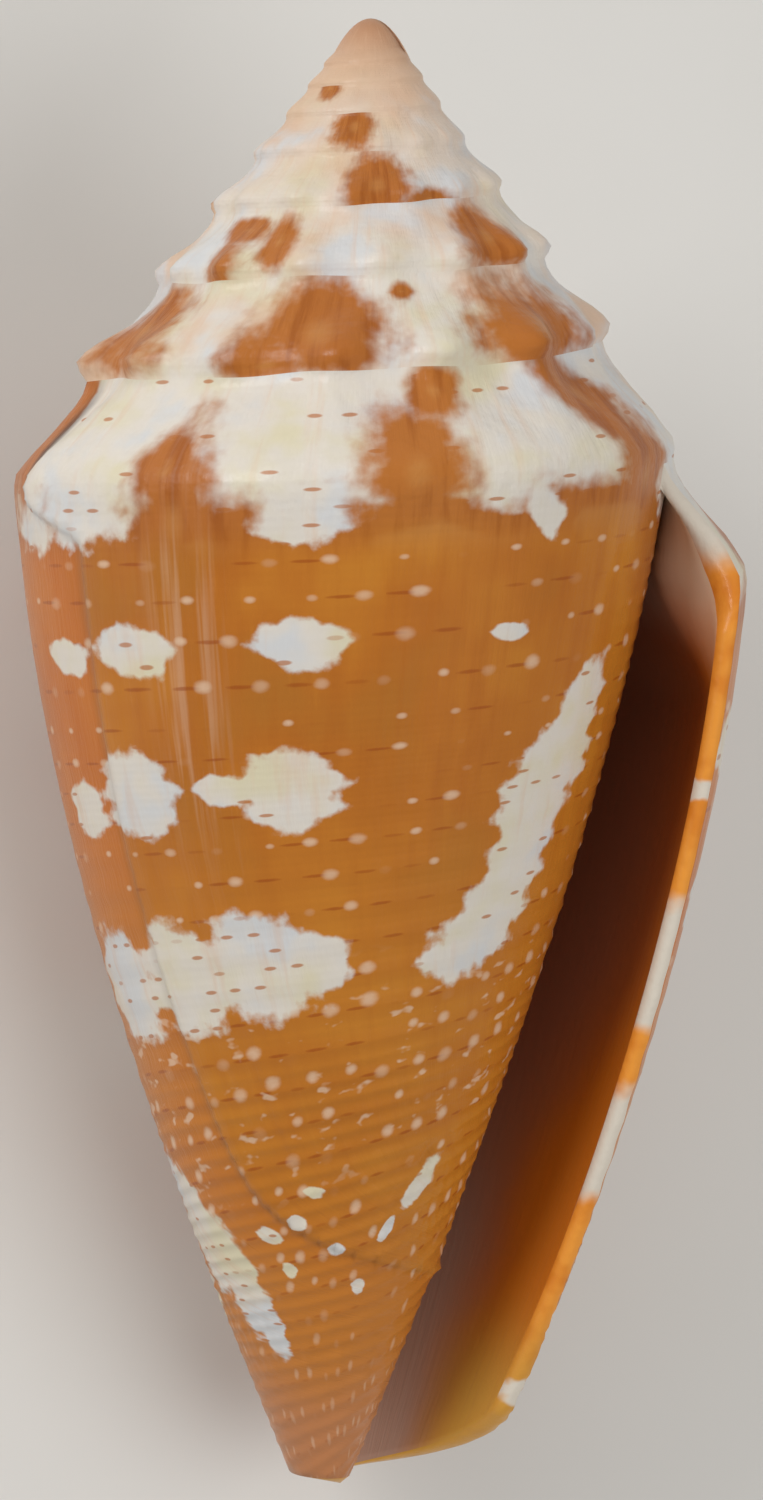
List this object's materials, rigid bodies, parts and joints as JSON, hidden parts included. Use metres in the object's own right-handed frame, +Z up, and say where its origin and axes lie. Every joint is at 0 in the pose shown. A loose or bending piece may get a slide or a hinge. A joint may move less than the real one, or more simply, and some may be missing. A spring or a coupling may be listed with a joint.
{
  "type": "cone shell",
  "caption": "conical sea-snail shell with a knobbed, stepped spire, a long narrow mouth between its lip and the turn before, and an open lower end",
  "frame": {"origin": "under the middle of the shell's box, on the surface that the shell lies on", "axes": "+Z up with the mouth on top, +Y towards the spire, +X towards the outer lip; the coiling axis is pitched up towards the spire"},
  "size_m": [0.0274, 0.054, 0.0255],
  "materials": {
    "shell": "glossy, patterned in ochre orange, white and brown"
  },
  "bodies": {
    "root": {"shell": "shell"}
  },
  "joints": []
}
